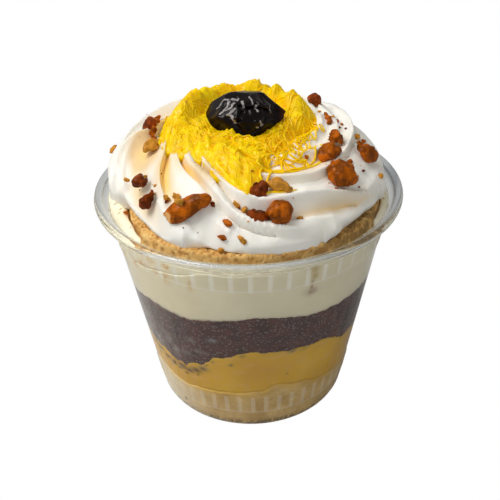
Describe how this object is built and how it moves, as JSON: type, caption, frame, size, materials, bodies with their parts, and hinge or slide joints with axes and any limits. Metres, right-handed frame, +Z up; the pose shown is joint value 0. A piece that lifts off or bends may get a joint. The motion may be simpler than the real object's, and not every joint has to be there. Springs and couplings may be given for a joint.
{
  "type": "layered cake dessert in a clear cup",
  "caption": "Squat clear cup with layered cake, custard and cream, topped by a piped cream swirl, egg threads, a glazed dark fruit and toasted nut pieces.",
  "frame": {"origin": "on the cup's axis, in the plane that the cup stands on", "axes": "+Z up along the cup's axis; -Y is the front, the side that the picture shows"},
  "size_m": [0.0918, 0.0916, 0.1001],
  "materials": {
    "clear_plastic": "clear thermoformed plastic, glossy",
    "pale_cake": "moist pale cake crumb",
    "yellow_custard": "smooth set custard",
    "dark_cake": "dark speckled cake crumb",
    "layer_cream": "smooth cream against the wall",
    "golden_cake": "open golden cake crumb",
    "collar_cream": "smooth pale edge",
    "whipped_cream": "piped whipped cream, soft sheen",
    "egg_threads": "syrup-glossed egg threads",
    "glazed_fruit": "wet, wrinkled and near black",
    "toasted_nut": "toasted and caramelised"
  },
  "bodies": {
    "root": {"cup": "clear_plastic", "base_cake": "pale_cake", "custard": "yellow_custard", "dark_cake": "dark_cake", "cream_layer": "layer_cream", "top_cake": "golden_cake", "cake_collar": "collar_cream", "whipped_cream": "whipped_cream", "egg_threads": "egg_threads", "glazed_prune": "glazed_fruit", "nut_01": "toasted_nut", "nut_02": "toasted_nut", "nut_03": "toasted_nut", "nut_04": "toasted_nut", "nut_05": "toasted_nut", "nut_06": "toasted_nut", "nut_07": "toasted_nut", "nut_08": "toasted_nut", "nut_09": "toasted_nut", "nut_10": "toasted_nut", "nut_11": "toasted_nut", "nut_12": "toasted_nut", "nut_13": "toasted_nut", "nut_14": "toasted_nut"}
  },
  "joints": []
}
